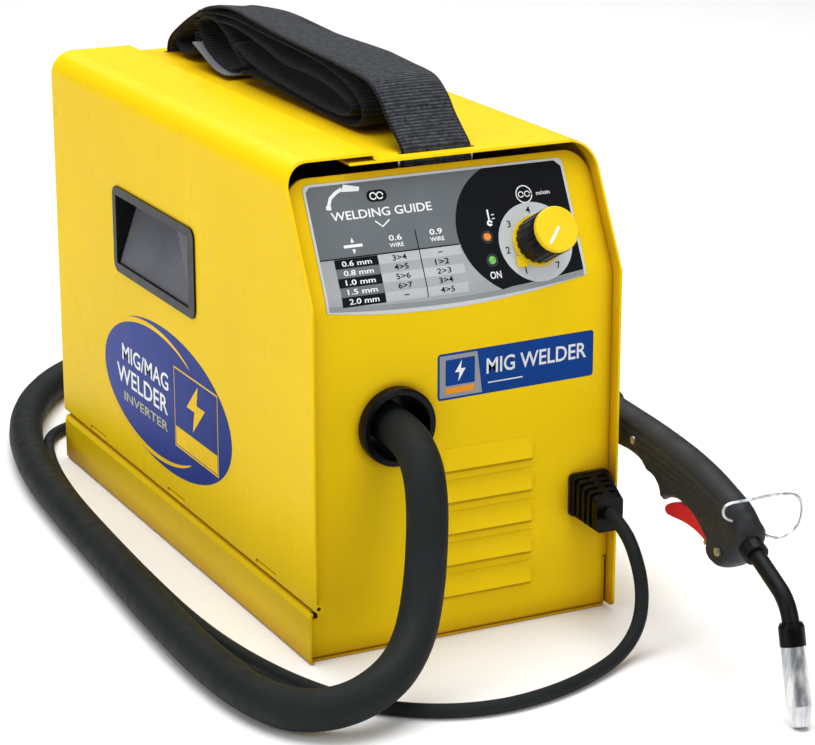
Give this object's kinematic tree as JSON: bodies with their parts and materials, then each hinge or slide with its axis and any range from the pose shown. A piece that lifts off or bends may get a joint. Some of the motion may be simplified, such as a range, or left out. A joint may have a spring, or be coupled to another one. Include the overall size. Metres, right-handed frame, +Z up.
{
  "type": "wire-feed welding inverter",
  "caption": "Portable sheet-metal MIG welding inverter with a sloping control panel, hinged side door, wire feeder, carrying strap, fixed gas torch on a stiff hose, and mains lead.",
  "frame": {"origin": "centre of the case's underside, on the floor", "axes": "+X right as seen from the front, +Y to the rear, +Z up; the front panel faces -Y"},
  "size_m": [0.3646, 0.8538, 0.35],
  "materials": {
    "yellow_paint": "satin powder coat",
    "zinc_steel": "zinc plated",
    "bright_chrome": "polished",
    "black_plastic": "matt moulded",
    "grey_plastic": "moulded",
    "black_coating": "satin sleeve",
    "label_film": "printed film",
    "dial_yellow": "moulded",
    "lamp_lens": "translucent",
    "trigger_red": "moulded",
    "brass_parts": "turned",
    "copper_wire": "copper coated",
    "winding": "enamelled copper",
    "core_iron": "laminated",
    "sink_aluminium": "extruded",
    "board": "circuit board with components",
    "hose_rubber": "matt",
    "strap_webbing": "woven webbing"
  },
  "bodies": {
    "chassis": {"base_tray": "yellow_paint", "fixed_cover": "yellow_paint", "front_panel": "yellow_paint", "rear_panel": "yellow_paint", "hinge_brackets": "yellow_paint", "divider": "zinc_steel", "hinge_rod": "zinc_steel", "strap_anchors": "zinc_steel", "board_posts": "zinc_steel", "case_screws": "zinc_steel", "handle_screws": "zinc_steel", "gear_motor": "zinc_steel", "nozzle": "bright_chrome", "handle_left": "black_plastic", "handle_right": "black_plastic", "hose_collar": "black_plastic", "mains_gland": "black_plastic", "hose_boot": "black_plastic", "mains_plug": "black_plastic", "coil_tie": "black_plastic", "fan_frame": "black_plastic", "switch_body": "black_plastic", "work_socket": "black_plastic", "trigger_switch": "black_plastic", "potentiometer": "black_plastic", "nozzle_insulator": "black_plastic", "feeder_plate": "black_plastic", "spool_hub": "grey_plastic", "hub_nut": "grey_plastic", "torch_neck": "black_coating", "control_label": "label_film", "indicators": "lamp_lens", "wire_guides": "brass_parts", "torch_adapter": "brass_parts", "contact_tip": "brass_parts", "feed_wire": "copper_wire", "transformer_winding": "winding", "transformer": "core_iron", "heatsink": "sink_aluminium", "power_board": "board", "torch_hose": "hose_rubber", "mains_lead": "hose_rubber", "plug_lead": "hose_rubber", "lead_coil": "hose_rubber", "carry_strap": "strap_webbing"},
    "door": {"door_panel": "yellow_paint", "grip_pocket": "black_plastic"},
    "spool": {"wire_spool": "grey_plastic", "wound_wire": "copper_wire"},
    "drive_roll": {"drive_roller": "zinc_steel"},
    "arm": {"pressure_arm": "zinc_steel"},
    "pressure_roll": {"pressure_roller": "zinc_steel"},
    "tension": {"tension_knob": "black_plastic"},
    "dial": {"dial_skirt": "dial_yellow", "dial_knob": "black_coating", "dial_cap": "dial_yellow"},
    "fan": {"fan_rotor": "black_plastic"},
    "rocker": {"switch_rocker": "black_coating"},
    "trigger_lever": {"trigger": "trigger_red"},
    "loop": {"hanging_loop": "bright_chrome"}
  },
  "joints": [
    {"name": "door_hinge", "type": "hinge", "parent": "chassis", "child": "door", "pos_m": [-0.1023, 0, 0.0375], "axis": [0, -1, 0], "range_deg": [0, 90]},
    {"name": "spool_spin", "type": "hinge", "parent": "chassis", "child": "spool", "pos_m": [-0.059, 0.095, 0.128], "axis": [1, 0, 0], "continuous": true},
    {"name": "drive_roller_spin", "type": "hinge", "parent": "chassis", "child": "drive_roll", "pos_m": [-0.0465, -0.12, 0.1277], "axis": [1, 0, 0], "continuous": true},
    {"name": "pressure_arm_lift", "type": "hinge", "parent": "chassis", "child": "arm", "pos_m": [-0.0465, -0.082, 0.158], "axis": [-1, 0, 0], "range_deg": [0, 50]},
    {"name": "pressure_roller_spin", "type": "hinge", "parent": "arm", "child": "pressure_roll", "pos_m": [-0.0465, -0.12, 0.1543], "axis": [1, 0, 0], "continuous": true},
    {"name": "tension_knob_turn", "type": "hinge", "parent": "arm", "child": "tension", "pos_m": [-0.0465, -0.148, 0.171], "axis": [0, 0, 1], "range_deg": [-360, 360]},
    {"name": "dial_turn", "type": "hinge", "parent": "chassis", "child": "dial", "pos_m": [0.0546, -0.20275, 0.24321], "axis": [0, 0.8854, -0.4648], "range_deg": [-25, 245]},
    {"name": "fan_spin", "type": "hinge", "parent": "chassis", "child": "fan", "pos_m": [0.045, 0.2, 0.165], "axis": [0, 1, 0], "continuous": true},
    {"name": "switch_rock", "type": "hinge", "parent": "chassis", "child": "rocker", "pos_m": [-0.06, 0.211, 0.245], "axis": [0, 0, 1], "range_deg": [-7, 7]},
    {"name": "trigger_pull", "type": "hinge", "parent": "chassis", "child": "trigger_lever", "pos_m": [0.11632, -0.32551, 0.08], "axis": [0.9969, -0.0785, 0], "range_deg": [0, 5], "stiffness_Nm_per_rad": 0.4, "springref_deg": -5.73},
    {"name": "loop_swing", "type": "hinge", "parent": "chassis", "child": "loop", "pos_m": [0.11405, -0.35442, 0.09825], "axis": [0.9057, -0.0713, -0.4179], "range_deg": [0, 70]}
  ],
  "couplings": [
    {"joint": "drive_roller_spin", "follows": "spool_spin", "ratio": 5.3333},
    {"joint": "pressure_roller_spin", "follows": "spool_spin", "ratio": -8}
  ]
}
